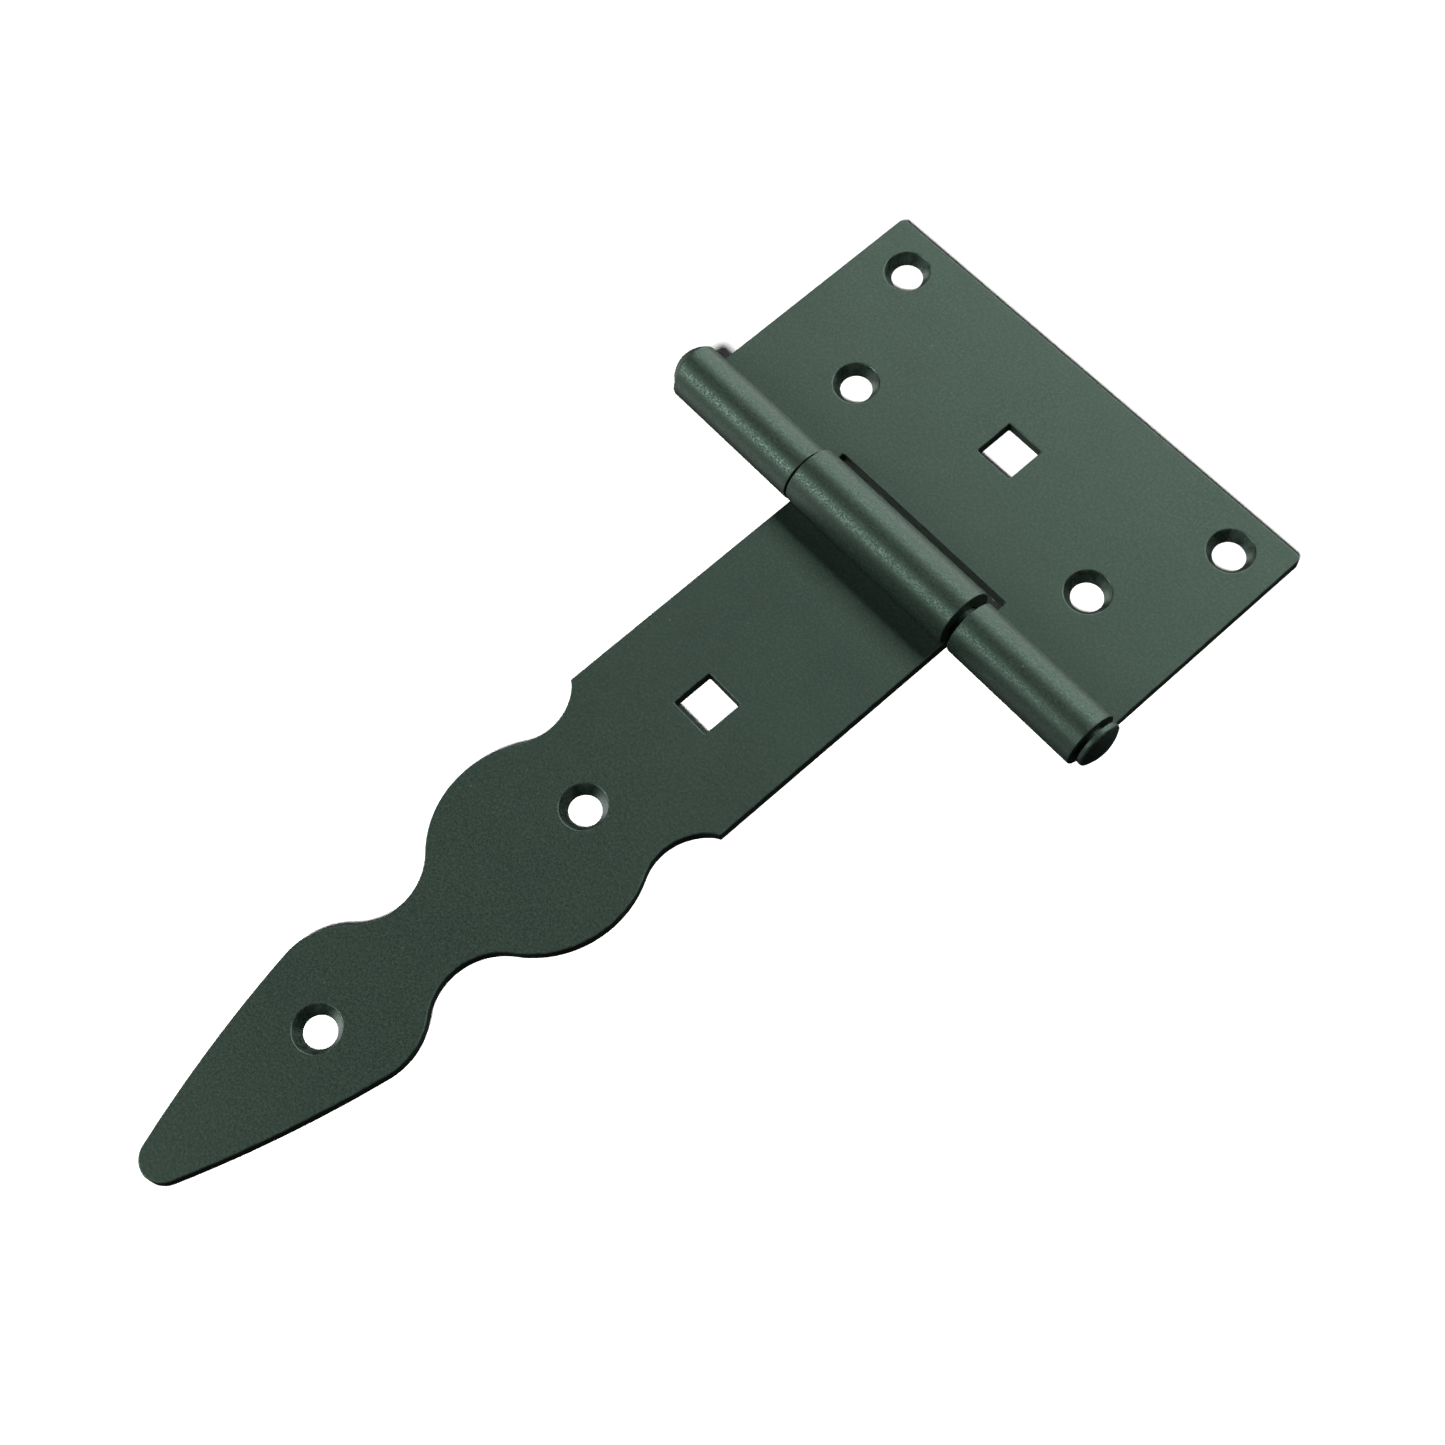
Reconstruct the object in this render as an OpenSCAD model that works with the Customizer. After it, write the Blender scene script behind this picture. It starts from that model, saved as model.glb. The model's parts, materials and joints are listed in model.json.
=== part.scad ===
// Decorative strap hinge: a rectangular plate leaf and a long ornamental strap
// leaf, both stamped from sheet steel and rolled round one riveted pin.
// Millimetres. X runs along the pin, Y from the pin to the plate's outer edge,
// the strap lies along -Y and Z points out of the front, where the barrel is.
// Both leaves have their backs at Z = 0, and the origin is under the pin.

/* [Sheet and pin] */
// thickness of both leaves
sheet = 2.5; // [1.5:0.1:4]
// diameter of the hinge pin
pin_d = 6; // [4:0.5:10]
// radial running clearance of the strap's eye on the pin
eye_clearance = 0.08; // [0.03:0.01:0.1]
// extra outer radius of the strap's eye, which is rolled fuller than the plate's
strap_eye_extra = 0.35; // [0:0.05:0.6]
// angle below the pin's level at which the rolled end of an eye stops
seam_angle = 30; // [20:1:35]

/* [Plate leaf] */
// length of the plate along the pin
plate_length = 102; // [60:1:160]
// from the pin's centre to the plate's outer edge
plate_reach = 53.2; // [30:0.1:90]
// radius of the two outer corners
plate_corner = 1.2; // [0.5:0.1:8]
// notch edge beyond the strap's width on the -X side
notch_gap_left = 0.5; // [0.3:0.1:3]
// notch edge beyond the strap's width on the +X side
notch_gap_right = 1.6; // [0.3:0.1:3]
// from the pin's centre to the bottom of the notch
notch_reach = 9; // [8:0.1:12]
// distance between the two outer screw holes
outer_pair_spacing = 83; // [40:0.5:140]
// distance of the outer screw holes from the pin's centre
outer_pair_reach = 45.1; // [25:0.1:80]
// distance between the two inner screw holes
inner_pair_spacing = 60; // [30:0.5:120]
// distance of the inner screw holes from the pin's centre
inner_pair_reach = 21.1; // [14:0.1:60]
// distance of the plate's square hole from the pin's centre
plate_square_reach = 31.4; // [18:0.1:60]

/* [Strap leaf] */
// width of the straight part of the strap
strap_width = 40; // [25:1:60]
// distance of the shoulders from the pin's centre
shoulder_reach = 56.9; // [40:0.1:90]
// radius of the neck's hollow arcs
neck_r = 11; // [8:0.1:16]
// distance of the neck from the pin's centre
neck_reach = 65.8; // [50:0.1:100]
// radius of the round bulge
bulge_r = 19.4; // [14:0.1:28]
// distance of the bulge's centre from the pin's centre
bulge_reach = 81.05; // [60:0.05:120]
// radius of the waist's hollow arcs
waist_r = 12.1; // [8:0.1:18]
// distance of the waist from the pin's centre
waist_reach = 105.6; // [80:0.1:150]
// radius of the leaf's rounded shoulders
leaf_r = 12.7; // [8:0.1:18]
// distance of the leaf's shoulders from the pin's centre
leaf_reach = 122.6; // [95:0.1:170]
// radius of the leaf's long side arcs
side_r = 230; // [120:5:600]
// radius of the tip
tip_r = 4.3; // [2:0.1:8]
// distance of the tip's centre from the pin's centre
tip_reach = 160.3; // [120:0.1:220]
// distance of the strap's square hole from the pin's centre
strap_square_reach = 42.3; // [25:0.1:55]
// distance of the strap's first screw hole from the pin's centre
strap_hole_1_reach = 70.7; // [60:0.1:90]
// distance of the strap's second screw hole from the pin's centre
strap_hole_2_reach = 128.7; // [100:0.1:150]

/* [Holes] */
// diameter of the screw holes
screw_d = 6.1; // [5:0.1:7.5]
// diameter of the countersinks at the front face
sink_d = 8.8; // [8:0.1:10.5]
// depth of the countersinks
sink_depth = 2.1; // [0.5:0.1:2.3]
// side of the square holes, which hold a carriage bolt's neck
square = 8.2; // [6:0.1:10]

/* [Pin heads] */
// diameter of the round head at the -X end
round_head_d = 10; // [8:0.1:12]
// thickness of the round head at its rim
round_head_rim = 0.7; // [0.3:0.1:3]
// height of the round head's dome
round_head_dome = 2.8; // [0.5:0.1:4]
// diameter of the peened head at the +X end
peened_head_d = 9.4; // [8:0.1:12]
// thickness of the peened head at its rim
peened_head_rim = 1.0; // [0.3:0.1:3]
// height of the peened head's dome
peened_head_dome = 1.3; // [0.5:0.1:4]
// gap between the +X knuckle's end and the peened head
peened_gap = 0.8; // [0.1:0.1:1.5]
// how far both heads sit off the pin's axis, towards the plate
head_offset = 0.45; // [0:0.05:0.8]

// the part to show

/* [Hidden] */
$fn = 96;
cut = 1; // how far a cutting shape runs past the face it cuts

pin_r = pin_d / 2;
eye_r = pin_r + sheet; // outer radius of the plate's eyes
pin_z = eye_r; // height of the pin above the backs
strap_eye_r = eye_r + strap_eye_extra;
half_plate = plate_length / 2;
half_strap = strap_width / 2;
notch_left = -half_strap - notch_gap_left;
notch_right = half_strap + notch_gap_right;

// centres of the outline's arcs on the +X side, each tangent to the next
function reach_x(sum_r, dy) = sqrt(sum_r * sum_r - dy * dy);
bulge_c = [0, -bulge_reach];
neck_c = [reach_x(neck_r + bulge_r, bulge_reach - neck_reach), -neck_reach];
waist_c = [reach_x(waist_r + bulge_r, waist_reach - bulge_reach), -waist_reach];
leaf_c = [waist_c[0] - reach_x(waist_r + leaf_r, leaf_reach - waist_reach), -leaf_reach];
tip_c = [0, -tip_reach];

// centre of the side arc that holds the leaf's shoulder and the tip inside it
leaf_to_tip = tip_c - leaf_c;
span = norm(leaf_to_tip);
along = leaf_to_tip / span;
across = [along[1], -along[0]];
leaf_off = side_r - leaf_r;
tip_off = side_r - tip_r;
side_s = (leaf_off * leaf_off - tip_off * tip_off + span * span) / (2 * span);
side_c = leaf_c + side_s * along + sqrt(leaf_off * leaf_off - side_s * side_s) * across;

// points where one arc runs into the next
function between(a, ra, b, rb) = a + (b - a) * ra / (ra + rb);
function outward(c, inner, r) = c + (inner - c) * r / norm(inner - c);
neck_end = between(bulge_c, bulge_r, neck_c, neck_r);
waist_start = between(bulge_c, bulge_r, waist_c, waist_r);
waist_end = between(leaf_c, leaf_r, waist_c, waist_r);
side_start = outward(side_c, leaf_c, side_r);
side_end = outward(side_c, tip_c, side_r);

// the same shape on both sides of the strap's centre line
module both_sides() {
    children();
    mirror([1, 0]) children();
}

// four-sided piece of outline between two points and their mirror images
module span_between(a, b) {
    polygon([a, b, [-b[0], b[1]], [-a[0], a[1]]]);
}

module strap_outline() {
    span_between([half_strap, 0], [half_strap, -shoulder_reach]);
    difference() {
        span_between([half_strap, -shoulder_reach], neck_end);
        both_sides() translate(neck_c) circle(r = neck_r);
    }
    translate(bulge_c) circle(r = bulge_r);
    difference() {
        span_between(waist_start, waist_end);
        both_sides() translate(waist_c) circle(r = waist_r);
    }
    both_sides() translate(leaf_c) circle(r = leaf_r);
    span_between(waist_end, side_start);
    intersection() {
        translate(side_c) circle(r = side_r);
        mirror([1, 0]) translate(side_c) circle(r = side_r);
        span_between([half_strap, side_start[1]], [half_strap, side_end[1]]);
    }
    translate(tip_c) circle(r = tip_r);
}

module plate_outline() {
    difference() {
        translate([-half_plate, 0]) square([plate_length, plate_reach]);
        both_sides()
            translate([half_plate - plate_corner, plate_reach - plate_corner])
                square([plate_corner + cut, plate_corner + cut]);
    }
    both_sides()
        translate([half_plate - plate_corner, plate_reach - plate_corner])
            circle(r = plate_corner);
}

// countersunk screw hole, cut from the front face
module screw_hole() {
    wider = (sink_d - screw_d) / sink_depth; // growth in diameter for each millimetre of depth
    translate([0, 0, -cut]) cylinder(d = screw_d, h = sheet + 2 * cut);
    translate([0, 0, sheet - sink_depth])
        cylinder(d1 = screw_d, d2 = sink_d + wider * cut, h = sink_depth + cut);
}

module square_hole() {
    translate([-square / 2, -square / 2, -cut]) cube([square, square, sheet + 2 * cut]);
}

// end view of a rolled eye, with its leaf running along +X of this view
module eye_profile(outer_r, bore_r, centre) {
    seam_x = (pin_z - sheet) / tan(seam_angle);
    difference() {
        union() {
            translate([centre, outer_r]) circle(r = outer_r);
            square([outer_r, sheet]);
        }
        translate([0, pin_z]) circle(r = bore_r);
        polygon([[0, sheet], [seam_x, sheet], [0, pin_z]]);
    }
}

// a rolled eye from x0 to x1; side is +1 for the plate's eyes and -1 for the strap's
module eye(x0, x1, outer_r, bore_r, centre, side) {
    translate([x0, 0, 0])
        mirror([0, side < 0 ? 1 : 0, 0])
            rotate([90, 0, 90])
                linear_extrude(height = x1 - x0) eye_profile(outer_r, bore_r, centre);
}

module plate_leaf() {
    color([0.30, 0.36, 0.33]) {
        difference() {
            linear_extrude(height = sheet) plate_outline();
            translate([-half_plate - cut, -cut, -cut])
                cube([plate_length + 2 * cut, eye_r + cut, sheet + 2 * cut]);
            translate([notch_left, 0, -cut])
                cube([notch_right - notch_left, notch_reach, sheet + 2 * cut]);
            for (s = [-1, 1]) {
                translate([s * outer_pair_spacing / 2, outer_pair_reach, 0]) screw_hole();
                translate([s * inner_pair_spacing / 2, inner_pair_reach, 0]) screw_hole();
            }
            translate([0, plate_square_reach, 0]) square_hole();
        }
        eye(-half_plate, notch_left, eye_r, pin_r, 0, 1);
        eye(notch_right, half_plate, eye_r, pin_r, 0, 1);
    }
}

module strap_leaf() {
    color([0.26, 0.31, 0.28]) {
        difference() {
            linear_extrude(height = sheet) strap_outline();
            translate([-half_strap - cut, -strap_eye_r, -cut])
                cube([strap_width + 2 * cut, strap_eye_r + cut, sheet + 2 * cut]);
            translate([0, -strap_square_reach, 0]) square_hole();
            translate([0, -strap_hole_1_reach, 0]) screw_hole();
            translate([0, -strap_hole_2_reach, 0]) screw_hole();
        }
        eye(-half_strap, half_strap, strap_eye_r, pin_r + eye_clearance, -strap_eye_extra, -1);
    }
}

// a riveted head, a flat rim with a dome on it
module pin_head(d, rim, dome) {
    dome_r = (d * d / 4 + dome * dome) / (2 * dome);
    cylinder(d = d, h = rim);
    translate([0, 0, rim])
        intersection() {
            cylinder(d = d, h = dome + cut);
            translate([0, 0, dome - dome_r]) sphere(r = dome_r);
        }
}

module hinge_pin() {
    reach = half_plate + peened_gap;
    color([0.33, 0.38, 0.35])
        translate([0, 0, pin_z]) {
            translate([-half_plate, 0, 0])
                rotate([0, 90, 0]) cylinder(d = pin_d, h = half_plate + reach);
            translate([-half_plate, head_offset, 0])
                rotate([0, -90, 0]) pin_head(round_head_d, round_head_rim, round_head_dome);
            translate([reach, head_offset, 0])
                rotate([0, 90, 0]) pin_head(peened_head_d, peened_head_rim, peened_head_dome);
        }
}

plate_leaf();
strap_leaf();
hinge_pin();
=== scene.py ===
"""Looks of the strap hinge: two coated sheet-steel leaves rolled round one riveted pin.

Each leaf is made the way the real one is: a flat blank with rounded edges, whose tabs are
then rolled round the pin. A blank has the coordinates x along the pin, s along the sheet
from under the pin towards the leaf's far end (negative in the roll) and t through the
sheet from its back. Lengths are in millimetres until a mesh is written.
"""
import json
import math

import bpy
from mathutils import Matrix, Vector
from mathutils.geometry import delaunay_2d_cdt


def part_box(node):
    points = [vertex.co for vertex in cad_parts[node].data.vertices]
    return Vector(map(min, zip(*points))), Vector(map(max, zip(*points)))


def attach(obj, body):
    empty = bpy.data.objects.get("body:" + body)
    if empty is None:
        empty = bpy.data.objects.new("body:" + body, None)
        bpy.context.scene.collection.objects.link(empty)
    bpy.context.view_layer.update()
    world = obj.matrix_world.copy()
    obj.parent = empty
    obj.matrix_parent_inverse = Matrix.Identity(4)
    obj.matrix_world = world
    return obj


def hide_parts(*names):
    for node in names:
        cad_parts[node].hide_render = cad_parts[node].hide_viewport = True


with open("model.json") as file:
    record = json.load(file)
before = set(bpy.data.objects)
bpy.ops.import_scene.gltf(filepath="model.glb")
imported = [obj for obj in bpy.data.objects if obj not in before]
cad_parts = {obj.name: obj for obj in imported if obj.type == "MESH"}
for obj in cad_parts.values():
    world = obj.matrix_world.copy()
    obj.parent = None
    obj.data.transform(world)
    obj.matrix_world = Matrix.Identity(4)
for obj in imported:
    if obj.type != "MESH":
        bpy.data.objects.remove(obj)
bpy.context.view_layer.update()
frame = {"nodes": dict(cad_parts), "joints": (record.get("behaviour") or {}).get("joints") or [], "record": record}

MM = 0.001
mounts = {m["name"]: m for m in frame["record"]["mounts"]}


def box_mm(node):
    return [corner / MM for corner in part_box(node)]


# ---------------------------------------------------------------- sizes from the CAD model
PIN_Z = frame["joints"][0]["pos_m"][2] / MM
SHEET = mounts["plate_square_hole"]["pos_m"][2] / MM
PIN_R = PIN_Z - SHEET
SHANK_PLAY = 0.05  # clears the strap's sheet, which runs straight on under the pin
SHANK_R = PIN_R - SHANK_PLAY
SCREW_R = mounts["strap_screws"]["dims"]["hole_r_mm"]
plate_hi = box_mm("plate_leaf")[1]
strap_lo, strap_hi = box_mm("strap_leaf")
pin_lo, pin_hi = box_mm("hinge_pin")
HALF_PLATE, PLATE_REACH, PLATE_EYE_R = plate_hi.x, plate_hi.y, plate_hi.z / 2
HALF_STRAP, STRAP_TIP, STRAP_EYE_R = strap_hi.x, -strap_lo.y, strap_hi.z / 2
STRAP_EYE_SHIFT = strap_hi.y - STRAP_EYE_R

# ---------------------------------------------------------------- sizes that the CAD source has
PLATE_CORNER_R = 1.2
GAP_LEFT, GAP_RIGHT = 0.5, 1.6
NOTCH_LEFT, NOTCH_RIGHT = -HALF_STRAP - GAP_LEFT, HALF_STRAP + GAP_RIGHT
NOTCH_REACH = 9.0
BORE_PLAY = 0.08
STRAP_BORE_R = PIN_R + BORE_PLAY
SHOULDER = 56.9
NECK_R, NECK_REACH = 11.0, 65.8
BULGE_R, BULGE_REACH = 19.4, 81.05
WAIST_R, WAIST_REACH = 12.1, 105.6
LEAF_R, LEAF_REACH = 12.7, 122.6
SIDE_R = 230.0
TIP_R = 4.3
SINK_R, SINK_DEPTH = 4.4, 2.1
SQUARE = 8.2
ROLL_END = math.radians(300)
ROUND_HEAD = {"r": 5.0, "rim": 0.7, "dome": 2.8, "gap": 0.0}
PEENED_HEAD = {"r": 4.7, "rim": 1.0, "dome": 1.3, "gap": 0.8}
HEAD_OFFSET = 0.45

# ---------------------------------------------------------------- roundings under the coat
FRONT_EDGE_R, BACK_EDGE_R = 0.3, 0.2
CORNER_R = 0.35
SINK_RIM_R, SINK_FOOT_R = 0.35, 0.3
HEAD_EDGE_R = 0.6

# ---------------------------------------------------------------- fineness of the meshes
ARC_STEP = 0.7
TURN_STEP = math.radians(12)
ROLL_STEP = math.radians(5)
FLAT_STEP = 4.0
SHORT_STRETCH = 1.5 * ARC_STEP  # a straight stretch below this gets no points of its own
ROLL_MARGIN = 1.5 * CORNER_R  # the rows of the roll stay this far from its end
PIN_SIDES = 72
SAME_X, SAME_ROW, SAME_POINT = 1e-6, 1e-4, 1e-5
INSIDE = 1  # delaunay_2d_cdt's choice of the triangles within the outline
MARK_POWER = 8  # the higher, the nearer to flat or upright a surface comes before its marks fade


# ---------------------------------------------------------------- paths with their outward normals
def arc(centre, radius, start, end, side=1):
    """Points of an arc between two angles. Normals leave its centre (side 1) or face it (-1)."""
    turn = abs(end - start)
    steps = max(2, math.ceil(turn / TURN_STEP), math.ceil(turn * radius / ARC_STEP))
    found = []
    for k in range(steps + 1):
        angle = start + (end - start) * k / steps
        ray = Vector((math.cos(angle), math.sin(angle)))
        found.append((centre + ray * radius, ray * side))
    return found


def turned(start, end):
    """The end angle moved by whole turns to within half a turn of the start angle."""
    return start + (end - start + math.pi) % (2 * math.pi) - math.pi


def corner(point, before, after, radius):
    """A rounded corner between two straight stretches that have these outward normals."""
    convex = before.x * after.y - before.y * after.x > 0
    side = 1 if convex else -1
    centre = point - side * radius * (before + after) / (1 + before.dot(after))
    start = math.atan2(before.y * side, before.x * side)
    end = turned(start, math.atan2(after.y * side, after.x * side))
    return arc(centre, radius, start, end, side)


def rounded_path(corners, closed=True):
    """Corners (x, y, radius) joined by straight stretches, with the material on the left."""
    points = [Vector(c[:2]) for c in corners]
    count = len(points)
    found = []
    for k in range(count) if closed else range(1, count - 1):
        way_in = (points[k] - points[k - 1]).normalized()
        way_out = (points[(k + 1) % count] - points[k]).normalized()
        before, after = [Vector((way.y, -way.x)) for way in (way_in, way_out)]
        found += corner(points[k], before, after, corners[k][2])
    return found


def subdivided(path, rows):
    """The closed path with more points on its long straight stretches.

    They lie at the rows of the roll and, on the flat, about FLAT_STEP apart.
    """
    found = []
    for (a, normal), (b, _) in zip(path, path[1:] + path[:1]):
        found.append((a, normal))
        gap = b - a
        if gap.length < SHORT_STRETCH:
            continue
        cuts = []
        if abs(gap.x) < SAME_X:
            cuts = [(s - a.y) / gap.y for s in rows if 0 < (s - a.y) / gap.y < 1]
        if not cuts:
            count = round(gap.length / FLAT_STEP)
            cuts += [k / count for k in range(1, count)]
        elif max(a.y, b.y) > FLAT_STEP:
            top = max(a.y, b.y)
            count = round(top / FLAT_STEP)
            cuts += [(top * k / count - a.y) / gap.y for k in range(1, count)]
        found += [(a + gap * cut, normal) for cut in sorted(cuts)]
    return found


# ---------------------------------------------------------------- outlines of the two blanks
def plate_outline(roll_length):
    return rounded_path([
        (HALF_PLATE, PLATE_REACH, PLATE_CORNER_R), (-HALF_PLATE, PLATE_REACH, PLATE_CORNER_R),
        (-HALF_PLATE, -roll_length, CORNER_R), (NOTCH_LEFT, -roll_length, CORNER_R),
        (NOTCH_LEFT, NOTCH_REACH, CORNER_R), (NOTCH_RIGHT, NOTCH_REACH, CORNER_R),
        (NOTCH_RIGHT, -roll_length, CORNER_R), (HALF_PLATE, -roll_length, CORNER_R),
    ])


def meeting(a, b):
    """Where two tangent arcs (centre, radius, side) run into each other."""
    (ca, ra, side_a), (cb, rb, side_b) = a, b
    if side_a != side_b:
        return ca + (cb - ca) * ra / (ra + rb)
    small, big = (a, b) if ra < rb else (b, a)
    return small[0] + (small[0] - big[0]).normalized() * small[1]


def strap_arcs():
    """The arcs of the strap's right side from the neck to the tip, as (centre, radius, side)."""
    def along_x(total, rise):
        return math.sqrt(total * total - rise * rise)
    bulge = Vector((0, BULGE_REACH))
    neck = Vector((along_x(NECK_R + BULGE_R, BULGE_REACH - NECK_REACH), NECK_REACH))
    waist = Vector((along_x(WAIST_R + BULGE_R, WAIST_REACH - BULGE_REACH), WAIST_REACH))
    leaf = Vector((waist.x - along_x(WAIST_R + LEAF_R, LEAF_REACH - WAIST_REACH), LEAF_REACH))
    tip = Vector((0, STRAP_TIP - TIP_R))
    span = tip - leaf
    along = span.normalized()
    across = Vector((-along.y, along.x))
    leaf_off, tip_off = SIDE_R - LEAF_R, SIDE_R - TIP_R
    part = (leaf_off ** 2 - tip_off ** 2 + span.length_squared) / (2 * span.length)
    side = leaf + part * along + math.sqrt(leaf_off ** 2 - part ** 2) * across
    return [(neck, NECK_R, -1), (bulge, BULGE_R, 1), (waist, WAIST_R, -1),
            (leaf, LEAF_R, 1), (side, SIDE_R, 1), (tip, TIP_R, 1)]


def strap_outline(roll_length):
    arcs = strap_arcs()
    neck = arcs[0][0]
    start = Vector((neck.x - math.sqrt(NECK_R ** 2 - (NECK_REACH - SHOULDER) ** 2), SHOULDER))
    ends = [start] + [meeting(a, b) for a, b in zip(arcs, arcs[1:])] + [Vector((0, STRAP_TIP))]
    right = corner(Vector((HALF_STRAP, -roll_length)), Vector((0, -1)), Vector((1, 0)), CORNER_R)
    neck_normal = (neck - start).normalized()
    right += corner(Vector((HALF_STRAP, SHOULDER)), Vector((1, 0)), neck_normal, CORNER_R)
    for (centre, radius, side), a, b in zip(arcs, ends, ends[1:]):
        first = math.atan2(*(a - centre).yx)
        right += arc(centre, radius, first, turned(first, math.atan2(*(b - centre).yx)), side)[1:]
    left = [(Vector((-p.x, p.y)), Vector((-n.x, n.y))) for p, n in reversed(right[:-1])]
    return right + left


# ---------------------------------------------------------------- holes and sections
def round_hole(x, s):
    return arc(Vector((x, s)), SCREW_R, 2 * math.pi, 0, -1)[:-1]


def square_hole(x, s):
    h = SQUARE / 2
    return rounded_path([(x - h, s - h, CORNER_R), (x - h, s + h, CORNER_R),
                         (x + h, s + h, CORNER_R), (x + h, s - h, CORNER_R)])


def plain_section():
    """Section through a stamped edge, from the back to the front: outward distance and height."""
    return rounded_path([(-SHEET, 0, 0), (0, 0, BACK_EDGE_R),
                         (0, SHEET, FRONT_EDGE_R), (-SHEET, SHEET, 0)], closed=False)


def sink_section():
    """Section through a countersunk hole's edge."""
    return rounded_path([(-SHEET, 0, 0), (0, 0, BACK_EDGE_R),
                         (0, SHEET - SINK_DEPTH, SINK_FOOT_R),
                         (SCREW_R - SINK_R, SHEET, SINK_RIM_R), (-2 * SHEET, SHEET, 0)], closed=False)


# ---------------------------------------------------------------- the rolled blank
class Leaf:
    """A leaf's mesh being built. direction is 1 for a leaf along +Y and -1 for one along -Y."""

    def __init__(self, direction, eye_r, bore_r, shift):
        self.direction, self.eye_r, self.bore_r, self.shift = direction, eye_r, bore_r, shift
        self.verts, self.normals, self.faces = [], [], []
        self.marks = {"edge_wear_and_highlight": [], "sunk": []}

    def roll_length(self):
        return self.shift + self.eye_r * ROLL_END

    def rows(self):
        count = math.floor(ROLL_END / ROLL_STEP)
        found = [-self.shift - self.eye_r * ROLL_STEP * k for k in range(count + 1)]
        return [s for s in found if s > -self.roll_length() + ROLL_MARGIN]

    def place(self, x, s, t, normal):
        """Adds a vertex of the blank, rolled round the pin if it lies in the roll."""
        if s >= -self.shift:
            y, z = s, t
            along, up = Vector((0, 1, 0)), Vector((0, 0, 1))
        else:
            angle = (-self.shift - s) / self.eye_r
            up = Vector((0, math.sin(angle), math.cos(angle)))
            along = Vector((0, math.cos(angle), -math.sin(angle)))
            centre = Vector((0, -self.shift, self.eye_r))
            bore = Vector((0, 0, PIN_Z))
            wall = self.eye_r - self.bore_r + (bore - centre).dot(up)
            spot = centre - up * (self.eye_r - wall * t / SHEET)
            y, z = spot.y, spot.z
        turned_normal = Vector((normal[0], 0, 0)) + along * normal[1] + up * normal[2]
        turned_normal.y *= self.direction
        self.verts.append(Vector((x, y * self.direction, z)) * MM)
        self.normals.append(turned_normal)
        return len(self.verts) - 1

    def wall(self, loop, section, sunk=0.0):
        """Sweeps a section along a closed loop. Returns the lowest and highest rings of vertices.

        Slopes are marked as worn, and the paler coat this gives them is partly a painted edge highlight. sunk is 1
        for a countersunk hole, whose walls are marked too.
        """
        rings = []
        for offset, height in [(p.x, p.y) for p, _ in section]:
            rings.append([(p + n * offset, height) for p, n in loop])
        index = []
        for ring, (_, tilt) in zip(rings, section):
            row = []
            for (spot, height), (_, n) in zip(ring, loop):
                row.append(self.place(spot.x, spot.y, height, (n.x * tilt.x, n.y * tilt.x, tilt.y)))
            index.append(row)
            # the edge mark: where the coat is thin, and where a highlight is painted along the edges
            sloped, steep = [max(0.0, 1 - abs(part) ** MARK_POWER) for part in (tilt.x, tilt.y)]
            self.marks["edge_wear_and_highlight"] += [math.sqrt(sloped * steep)] * len(row)
            self.marks["sunk"] += [sunk * steep] * len(row)
        count = len(loop)
        for low, high in zip(index, index[1:]):
            for k in range(count):
                m = (k + 1) % count
                self.faces.append((low[k], low[m], high[m], high[k]))
        return [(index[0], [p for p, _ in rings[0]]), (index[-1], [p for p, _ in rings[-1]])]

    def cap(self, loops, t, up):
        """Fills one face of the sheet between its loops, with cross rows in the roll."""
        points, owner, ring_of, edges = [], [], [], []
        for number, (index, ring) in enumerate(loops):
            base = len(points)
            points += ring
            owner += index
            ring_of += [number] * len(ring)
            edges += [(base + k, base + (k + 1) % len(ring)) for k in range(len(ring))]
        outline = points[:len(loops[0][1])]
        for s in self.rows():
            on_row = sorted((p.x, k) for k, p in enumerate(outline) if abs(p.y - s) < SAME_ROW)
            for (xa, a), (xb, b) in zip(on_row[::2], on_row[1::2]):
                count = max(1, round((xb - xa) / FLAT_STEP))
                last = a
                for k in range(1, count):
                    x = xa + (xb - xa) * k / count
                    points.append(Vector((x, s)))
                    owner.append(self.place(x, s, t, (0, 0, up)))
                    ring_of.append(0)
                    for values in self.marks.values():
                        values.append(0.0)
                    edges.append((last, len(points) - 1))
                    last = len(points) - 1
                edges.append((last, b))
        _, _, triangles, source, _, _ = delaunay_2d_cdt(points, edges, [], INSIDE, SAME_POINT)
        for triangle in triangles:
            corners = [source[v][0] for v in triangle]
            rings = {ring_of[k] for k in corners}
            if len(rings) == 1 and 0 not in rings:
                continue  # it lies in a hole
            face = tuple(owner[k] for k in corners)
            self.faces.append(face if up > 0 else face[::-1])

    def build(self, name, outline, sinks, squares):
        rings = [self.wall(subdivided(outline, self.rows()), plain_section())]
        rings += [self.wall(round_hole(x, s), sink_section(), 1.0) for x, s in sinks]
        rings += [self.wall(square_hole(x, s), plain_section()) for x, s in squares]
        self.cap([low for low, _ in rings], 0.0, -1)
        self.cap([high for _, high in rings], SHEET, 1)
        faces = self.faces if self.direction > 0 else [face[::-1] for face in self.faces]
        return mesh_object(name, self.verts, faces, self.normals, self.marks)


def mesh_object(name, verts, faces, normals, marks):
    mesh = bpy.data.meshes.new(name)
    mesh.from_pydata(verts, [], faces)
    mesh.polygons.foreach_set("use_smooth", [True] * len(faces))
    for mark, values in marks.items():
        mesh.attributes.new(mark, "FLOAT", "POINT").data.foreach_set("value", values)
    mesh.validate()
    mesh.normals_split_custom_set_from_vertices(normals)
    made = bpy.data.objects.new(name, mesh)
    bpy.context.scene.collection.objects.link(made)
    return made


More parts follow.
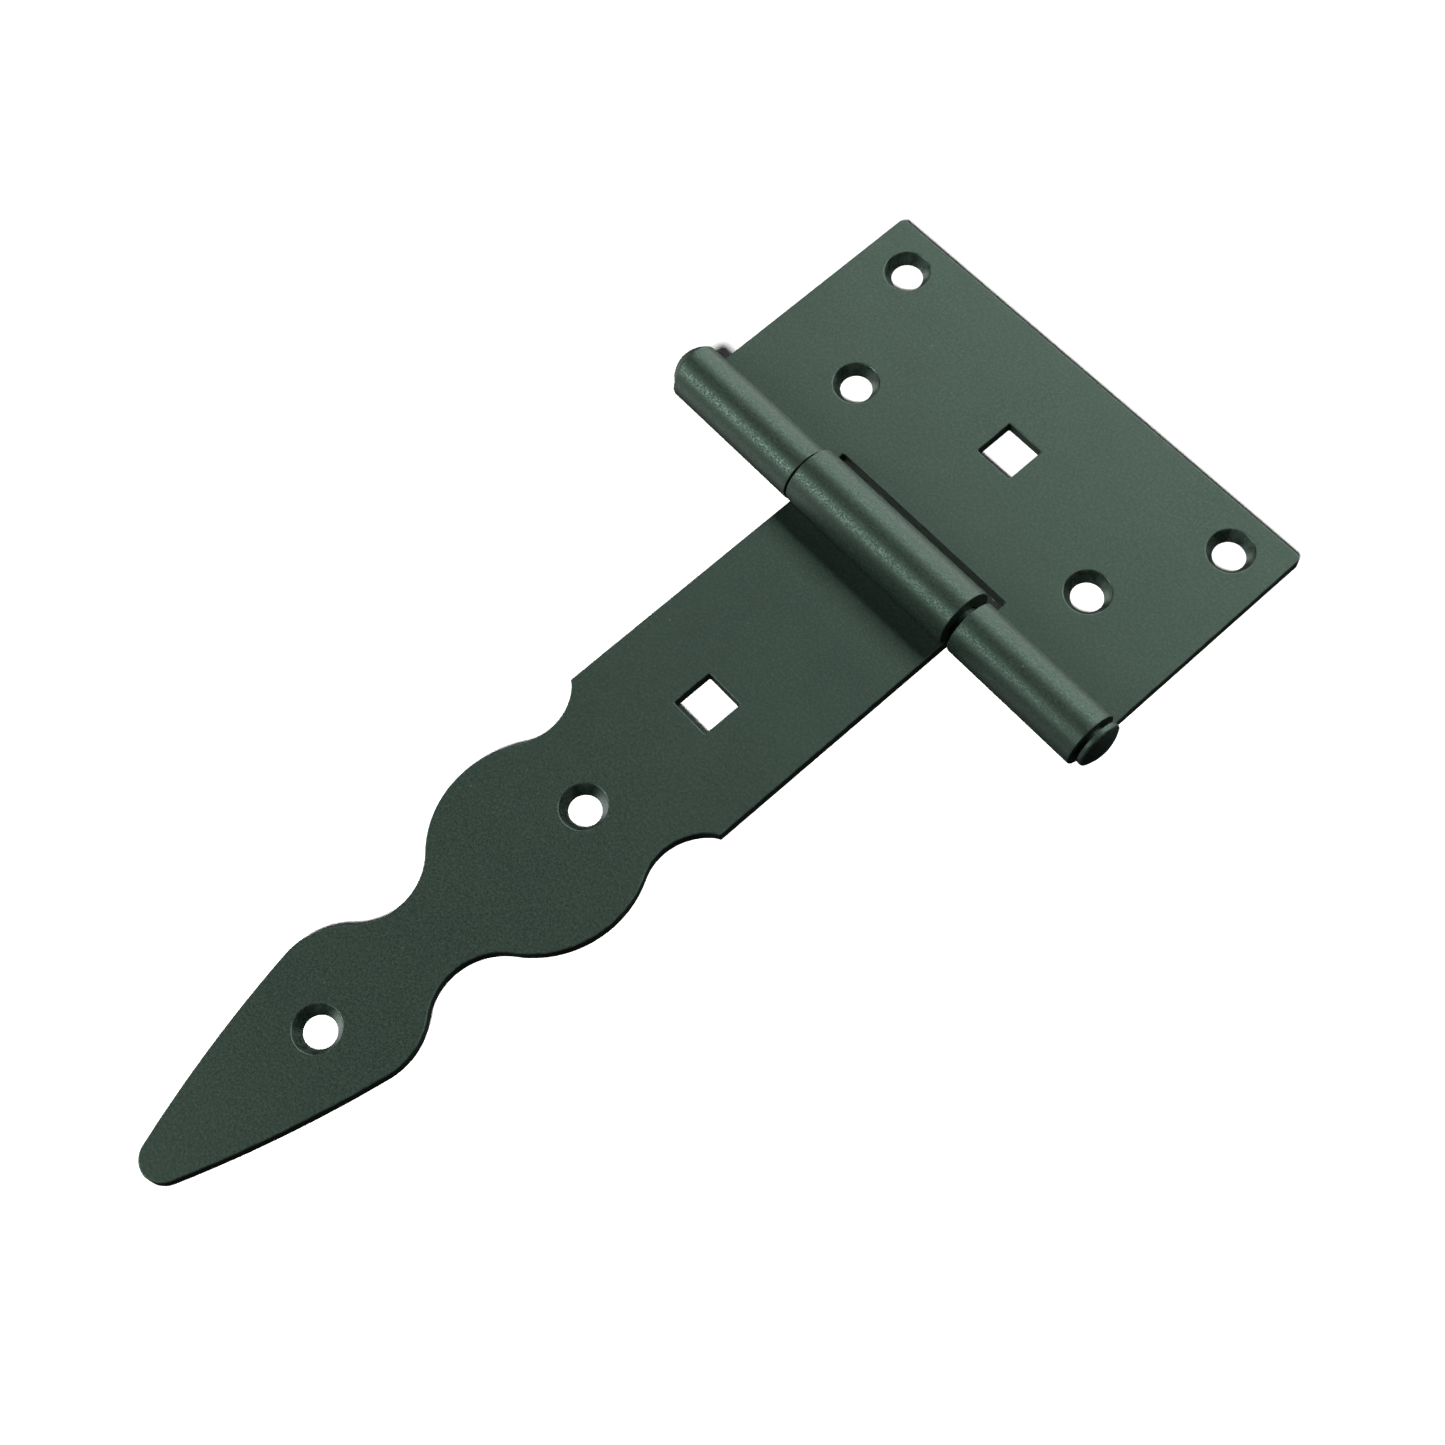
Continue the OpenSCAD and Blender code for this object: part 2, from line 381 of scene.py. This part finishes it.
def pattern(name):
    """Hole places of a two-hole mount, as (x, distance from the pin)."""
    mount = mounts[name]
    x, y = mount["pos_m"][0] / MM, abs(mount["pos_m"][1]) / MM
    half_x = mount["dims"].get("spacing_x_mm", 0) / 2
    half_y = mount["dims"].get("spacing_y_mm", 0) / 2
    return [(x - half_x, y - half_y), (x + half_x, y + half_y)]


def centre_of(name):
    spot = mounts[name]["pos_m"]
    return [(spot[0] / MM, abs(spot[1]) / MM)]


def make_plate():
    leaf = Leaf(1, PLATE_EYE_R, PIN_R, 0.0)
    outline = plate_outline(leaf.roll_length())
    sinks = pattern("plate_outer_screws") + pattern("plate_inner_screws")
    return leaf.build("coated_plate", outline, sinks, centre_of("plate_square_hole"))


def make_strap():
    leaf = Leaf(-1, STRAP_EYE_R, STRAP_BORE_R, STRAP_EYE_SHIFT)
    outline = strap_outline(leaf.roll_length())
    sinks = pattern("strap_screws")
    return leaf.build("coated_strap", outline, sinks, centre_of("strap_square_hole"))


# ---------------------------------------------------------------- the pin, turned about X
def head_profile(head):
    """One end of the pin, from its pole to the middle of the shank.

    Each point has its place along and off the axis, its normal and its sideways shift.
    """
    r, dome = head["r"], head["dome"]
    base = HALF_PLATE + head["gap"]
    pole = base + head["rim"] + dome
    dome_r = (r ** 2 + dome ** 2) / (2 * dome)
    centre = Vector((pole - dome_r, 0))
    rise = r - HEAD_EDGE_R
    edge = Vector((centre.x + math.sqrt((dome_r - HEAD_EDGE_R) ** 2 - rise ** 2), rise))
    slope = math.atan2(rise, edge.x - centre.x)
    outer = arc(centre, dome_r, 0, slope)[:-1] + arc(edge, HEAD_EDGE_R, slope, math.pi / 2)
    outer += rounded_path([(pole, r, 0), (base, r, BACK_EDGE_R), (base, SHANK_R, 0)], closed=False)
    shank = rounded_path([(base, r, 0), (base, SHANK_R, BACK_EDGE_R), (0, SHANK_R, 0)], closed=False)
    shank.append((Vector((0, SHANK_R)), Vector((0, 1))))
    return [(p, n, HEAD_OFFSET) for p, n in outer] + [(p, n, 0.0) for p, n in shank]


def make_pin():
    right, left = head_profile(PEENED_HEAD), head_profile(ROUND_HEAD)
    profile = right[1:]
    for p, n, shift in reversed(left[1:-1]):
        profile.append((Vector((-p.x, p.y)), Vector((-n.x, n.y)), shift))
    verts, normals, faces = [], [], []
    for p, n, shift in profile:
        for k in range(PIN_SIDES):
            angle = 2 * math.pi * k / PIN_SIDES
            c, s = math.cos(angle), math.sin(angle)
            verts.append(Vector((p.x, shift + p.y * c, PIN_Z + p.y * s)) * MM)
            normals.append(Vector((n.x, n.y * c, n.y * s)))
    poles = [len(verts), len(verts) + 1]
    verts += [Vector((x, HEAD_OFFSET, PIN_Z)) * MM for x in (pin_hi.x, pin_lo.x)]
    normals += [Vector((1, 0, 0)), Vector((-1, 0, 0))]
    last = (len(profile) - 1) * PIN_SIDES
    for k in range(PIN_SIDES):
        m = (k + 1) % PIN_SIDES
        faces.append((poles[0], k, m))
        faces.append((poles[1], last + m, last + k))
        for row in range(0, last, PIN_SIDES):
            faces.append((row + k, row + PIN_SIDES + k, row + PIN_SIDES + m, row + m))
    return mesh_object("coated_pin", verts, faces, normals, {})


plate = make_plate()
strap = make_strap()
pin = make_pin()
for piece, node, body, slot in [(plate, "plate_leaf", "plate", "leaf_paint"),
                                (strap, "strap_leaf", "strap", "leaf_paint"),
                                (pin, "hinge_pin", "plate", "pin_paint")]:
    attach(piece, body)
    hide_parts(node)


# ---------------------------------------------------------------- the coat
DEEP = (0.004, 0.008, 0.006, 1.0)
PALE = (0.006, 0.011, 0.008, 1.0)
WORN_AND_HIGHLIGHT = (0.060, 0.080, 0.070, 1.0)
COAT_SPECULAR = 0.6
COAT_TINT = (0.65, 1.0, 0.79, 1.0)
ROUGH_LOW, ROUGH_HIGH = 0.41, 0.61
SINK_ROUGH = 0.65  # the roughness of a countersink's wall as a share of the rest's

# sizes and depths in millimetres, the range of each noise that counts, and the share it gets
CLOUD_MM, CLOUD_RANGE = 14, (0.35, 0.65)
FLECK_MM, FLECK_RANGE, FLECK_SHARE = 0.5, (0.45, 0.8), 0.35
PATCH_MM, PATCH_RANGE, WEAR_AND_HIGHLIGHT_SHARE = 2.5, (0.42, 0.62), 0.6
NIB_CELL_MM, NIB_RIM, NIB_CHOICE, NIB_SHARE = 5, (0.022, 0.05), (0.62, 0.64), 0.5
GLOSS_MM, GLOSS_RANGE = 0.35, (0.38, 0.62)
LEAF_PEEL_MM, PIN_PEEL_MM, PEEL_DEPTH = 1.1, 0.9, 0.012
WAVE_MM, WAVE_DEPTH = 7, 0.05
GRAIN_MM, GRAIN_DEPTH = 0.28, 0.003
NIB_DEPTH = 0.03


class Nodes:
    """Short ways to add and join shader nodes."""

    def __init__(self, tree):
        self.tree = tree
        self.coordinates = tree.nodes.new("ShaderNodeTexCoord").outputs
        self.place = self.coordinates["Object"]

    def new(self, kind, inputs=(), **settings):
        node = self.tree.nodes.new(kind)
        for name, value in settings.items():
            setattr(node, name, value)
        for socket, value in dict(inputs).items():
            if isinstance(value, bpy.types.NodeSocket):
                self.tree.links.new(value, node.inputs[socket])
            else:
                node.inputs[socket].default_value = value
        return node

    def noise(self, size_mm, detail, roughness):
        """Noise from 0 to 1 whose grains are about this size."""
        return self.new("ShaderNodeTexNoise", {"Vector": self.place, "Scale": 1 / (size_mm * MM),
                                               "Detail": detail, "Roughness": roughness}).outputs["Fac"]

    def mark(self, name):
        """A value that the mesh holds at its vertices."""
        return self.new("ShaderNodeAttribute", attribute_name=name).outputs["Fac"]

    def span(self, value, low, high, to_low=0.0, to_high=1.0):
        """The value carried from one range to another, and held at its ends."""
        return self.new("ShaderNodeMapRange", {"Value": value, "From Min": low, "From Max": high,
                                               "To Min": to_low, "To Max": to_high}).outputs["Result"]

    def times(self, a, b):
        return self.new("ShaderNodeMath", {0: a, 1: b}, operation="MULTIPLY").outputs[0]

    def mix(self, share, low, high):
        node = self.new("ShaderNodeMix", {0: share, 6: low, 7: high}, data_type="RGBA")
        return node.outputs[2]

    def bump(self, height, depth_mm, under=None):
        inputs = {"Height": height, "Distance": depth_mm * MM, "Strength": 1.0}
        if under is not None:
            inputs["Normal"] = under
        return self.new("ShaderNodeBump", inputs).outputs["Normal"]


def coat(name, peel_mm):
    """Satin green-black powder coat: peel, grain, cloudy colour, dust nibs, and paler edges that are thin coat and
    a painted highlight.
    """
    material = bpy.data.materials.new(name)
    material.use_nodes = True
    tree = material.node_tree
    nodes = Nodes(tree)
    shader = tree.nodes["Principled BSDF"]

    clouds = nodes.noise(CLOUD_MM, 4, 0.6)
    colour = nodes.mix(nodes.span(clouds, *CLOUD_RANGE), DEEP, PALE)
    flecks = nodes.noise(FLECK_MM, 3, 0.6)
    colour = nodes.mix(nodes.span(flecks, *FLECK_RANGE, 0, FLECK_SHARE), colour, WORN_AND_HIGHLIGHT)

    # paler edges: coat worn thin, together with a painted highlight along every edge
    patches = nodes.span(nodes.noise(PATCH_MM, 4, 0.7), *PATCH_RANGE)
    worn_and_highlit = nodes.times(nodes.mark("edge_wear_and_highlight"), patches)
    colour = nodes.mix(nodes.times(worn_and_highlit, WEAR_AND_HIGHLIGHT_SHARE), colour, WORN_AND_HIGHLIGHT)

    cells = nodes.new("ShaderNodeTexVoronoi",
                      {"Vector": nodes.place, "Scale": 1 / (NIB_CELL_MM * MM)}).outputs
    draw = nodes.new("ShaderNodeSeparateColor", {0: cells["Color"]}).outputs[0]
    chosen = nodes.span(draw, *NIB_CHOICE)
    nib = nodes.times(nodes.span(cells["Distance"], *NIB_RIM, 1, 0), chosen)
    colour = nodes.mix(nodes.times(nib, NIB_SHARE), colour, WORN_AND_HIGHLIGHT)
    tree.links.new(colour, shader.inputs["Base Color"])

    gloss = nodes.span(nodes.noise(GLOSS_MM, 3, 0.6), *GLOSS_RANGE, ROUGH_LOW, ROUGH_HIGH)
    gloss = nodes.times(gloss, nodes.span(nodes.mark("sunk"), 0, 1, 1, SINK_ROUGH))
    tree.links.new(gloss, shader.inputs["Roughness"])

    waves = nodes.bump(nodes.noise(WAVE_MM, 1, 0.4), WAVE_DEPTH)
    peel = nodes.bump(nodes.noise(peel_mm, 2, 0.5), PEEL_DEPTH, waves)
    grain = nodes.bump(nodes.noise(GRAIN_MM, 2, 0.6), GRAIN_DEPTH, peel)
    nibs = nodes.bump(nib, NIB_DEPTH, grain)
    tree.links.new(nibs, shader.inputs["Normal"])

    shader.inputs["Specular IOR Level"].default_value = COAT_SPECULAR
    shader.inputs["Specular Tint"].default_value = COAT_TINT
    return material


leaf_coat = coat("leaf_powder_coat", LEAF_PEEL_MM)
pin_coat = coat("pin_powder_coat", PIN_PEEL_MM)
for piece, material in [(plate, leaf_coat), (strap, leaf_coat), (pin, pin_coat)]:
    piece.data.materials.append(material)
for node in frame["nodes"].values():
    node.data.materials.clear()
    node.data.materials.append(leaf_coat)


# ---------------------------------------------------------------- studio
AIM = Vector((3.657, -42.179, 0)) * MM
CAMERA_AZIMUTH, CAMERA_ELEVATION, CAMERA_DISTANCE = -33.143, 66.167, 0.37318
CAMERA_ROLL = -9.159
CAMERA_LENS, SENSOR_WIDTH = 53.05, 36.0
CAMERA_NEAR, CAMERA_FAR = 0.01, 20

FLOOR_GAP = 0.05
FLOOR_SIDES = 96
FLOOR_CLOUD_MM = 400
FLOOR_DARK, FLOOR_LIGHT = (0.86, 0.86, 0.86, 1), (0.9, 0.9, 0.9, 1)
FLOOR_ROUGH, FLOOR_SPECULAR = 0.9, 0.1

# the floor's shape, and the distances over which its glow comes in, both in metres
FLOOR_R, SWEEP_R, WALL_TOP = 1.8, 0.8, 4.0
GLOW_RANGE, FAR_GLOW = (0.25, 1.6), 1.08

# the world's brightness, and where each part of it fades in by the direction of the view
WORLD_DIM, WORLD_ABOVE, WORLD_BELOW, WORLD_FRONT = 0.015, 0.06, 0.02, 2.4
OVERHEAD_FADE, UNDERFOOT_FADE, HORIZON_FADE = (0.75, 0.95), (-0.9, -0.5), (0.0, -0.15)
FRONT_LEFT, FRONT_FADE = (-0.8, -0.6, 0.0), (0.6, 0.9)


def floor_material():
    """Matt off-white, lit by its own light near the hinge and glowing evenly farther out."""
    material = bpy.data.materials.new("studio_floor")
    material.use_nodes = True
    tree = material.node_tree
    nodes = Nodes(tree)
    shader = tree.nodes["Principled BSDF"]
    tone = nodes.mix(nodes.noise(FLOOR_CLOUD_MM, 2, 0.5), FLOOR_DARK, FLOOR_LIGHT)
    away = nodes.new("ShaderNodeVectorMath", {0: nodes.place}, operation="LENGTH").outputs["Value"]
    glow = nodes.span(away, *GLOW_RANGE, 0, FAR_GLOW)
    tree.links.new(tone, shader.inputs["Base Color"])
    tree.links.new(tone, shader.inputs["Emission Color"])
    tree.links.new(glow, shader.inputs["Emission Strength"])
    shader.inputs["Roughness"].default_value = FLOOR_ROUGH
    shader.inputs["Specular IOR Level"].default_value = FLOOR_SPECULAR
    return material


def make_floor():
    """A round floor that curves up into a wall far behind the hinge, seen by the camera alone."""
    path = [Vector((0.0, 0.0)), Vector((FLOOR_R, 0.0))]
    path += [p for p, _ in arc(Vector((FLOOR_R, SWEEP_R)), SWEEP_R, -math.pi / 2, 0)][1:]
    path.append(Vector((FLOOR_R + SWEEP_R, WALL_TOP)))
    verts, faces = [], []
    for spot in path:
        for k in range(FLOOR_SIDES):
            angle = 2 * math.pi * k / FLOOR_SIDES
            verts.append((spot.x * math.cos(angle), spot.x * math.sin(angle), spot.y))
    for row in range(len(path) - 1):
        for k in range(FLOOR_SIDES):
            a, b = row * FLOOR_SIDES + k, row * FLOOR_SIDES + (k + 1) % FLOOR_SIDES
            faces.append((a, b, b + FLOOR_SIDES, a + FLOOR_SIDES)[::-1])
    mesh = bpy.data.meshes.new("studio_floor")
    mesh.from_pydata(verts, [], faces)
    mesh.polygons.foreach_set("use_smooth", [True] * len(faces))
    made = bpy.data.objects.new("studio_floor", mesh)
    made.location.z = -FLOOR_GAP * MM
    made.data.materials.append(floor_material())
    made.visible_glossy = made.visible_diffuse = made.visible_shadow = False
    bpy.context.scene.collection.objects.link(made)
    return made


def spot_at(azimuth, elevation, distance):
    """A point seen from the aim at this azimuth (0 is +X, 90 is +Y) and elevation, in degrees."""
    a, e = math.radians(azimuth), math.radians(elevation)
    way = Vector((math.cos(a) * math.cos(e), math.sin(a) * math.cos(e), math.sin(e)))
    return AIM + way * distance


def group(name, members):
    """A collection of the objects that a light reaches."""
    made = bpy.data.collections.new(name)
    for member in members:
        made.objects.link(member)
    return made


def soft_light(name, tilt, distance, x, size, radiance, lit, blockers=None):
    """A soft box parallel to the pin that lights one group of objects.

    tilt is its angle from overhead towards the plate's side, in degrees. distance is in metres,
    and x and size are for a distance of one metre. Without blockers, every object casts a shadow.
    """
    data = bpy.data.lights.new(name, "AREA")
    data.shape = "RECTANGLE"
    data.size, data.size_y = [side * distance for side in size]
    data.energy = radiance * math.pi * data.size * data.size_y
    made = bpy.data.objects.new(name, data)
    angle = math.radians(tilt)
    made.location = AIM + Vector((x, math.sin(angle), math.cos(angle))) * distance
    made.rotation_euler = (-angle, 0, 0)
    made.visible_camera = False
    made.light_linking.receiver_collection = lit
    made.light_linking.blocker_collection = blockers
    bpy.context.scene.collection.objects.link(made)


def make_world():
    """Dim, a little paler right overhead, and palest below the horizon towards -X and -Y."""
    world = bpy.data.worlds.new("studio")
    bpy.context.scene.world = world
    world.use_nodes = True
    tree = world.node_tree
    nodes = Nodes(tree)
    view = nodes.coordinates["Generated"]
    height = nodes.new("ShaderNodeSeparateXYZ", {0: view}).outputs["Z"]
    ahead = nodes.new("ShaderNodeVectorMath", {0: view, 1: FRONT_LEFT},
                      operation="DOT_PRODUCT").outputs["Value"]
    below = nodes.times(nodes.span(height, *UNDERFOOT_FADE), nodes.span(height, *HORIZON_FADE))
    glow = nodes.times(below, nodes.span(ahead, *FRONT_FADE, WORLD_BELOW, WORLD_FRONT))
    above = nodes.span(height, *OVERHEAD_FADE, WORLD_DIM, WORLD_ABOVE)
    total = nodes.new("ShaderNodeMath", {0: glow, 1: above}, operation="ADD").outputs[0]
    tree.links.new(total, tree.nodes["Background"].inputs["Color"])


def make_camera():
    data = bpy.data.cameras.new("camera")
    data.lens = CAMERA_LENS
    data.sensor_width = SENSOR_WIDTH
    data.clip_start, data.clip_end = CAMERA_NEAR, CAMERA_FAR
    made = bpy.data.objects.new("camera", data)
    made.location = spot_at(CAMERA_AZIMUTH, CAMERA_ELEVATION, CAMERA_DISTANCE)
    made.rotation_mode = "QUATERNION"
    looking = (AIM - made.location).to_track_quat("-Z", "Y").to_matrix()
    roll = Matrix.Rotation(math.radians(CAMERA_ROLL), 3, "Z")
    made.rotation_quaternion = (looking @ roll).to_quaternion()
    bpy.context.scene.collection.objects.link(made)
    bpy.context.scene.camera = made


make_camera()
floor = make_floor()
make_world()
hinge_group = group("hinge_group", [plate, strap, pin])
leaf_group = group("leaf_group", [plate, strap])
floor_group = group("floor_group", [floor])
soft_light("back_soft_box", tilt=43.8, distance=1.6, x=-0.36, size=(1.7, 0.36),
           radiance=7.8, lit=hinge_group)
soft_light("low_soft_box", tilt=82, distance=1.0, x=-0.3, size=(1.8, 0.66),
           radiance=3.3, lit=hinge_group)
soft_light("front_soft_box", tilt=-48, distance=1.0, x=-0.5, size=(0.36, 0.34),
           radiance=29.0, lit=hinge_group)
soft_light("side_soft_box", tilt=-75, distance=1.0, x=0.9, size=(0.8, 0.5),
           radiance=0.8, lit=hinge_group)
soft_light("floor_soft_box", tilt=-32, distance=1.0, x=0.31, size=(0.16, 0.16),
           radiance=280.0, lit=floor_group, blockers=leaf_group)
bpy.context.scene.view_settings.view_transform = "Standard"
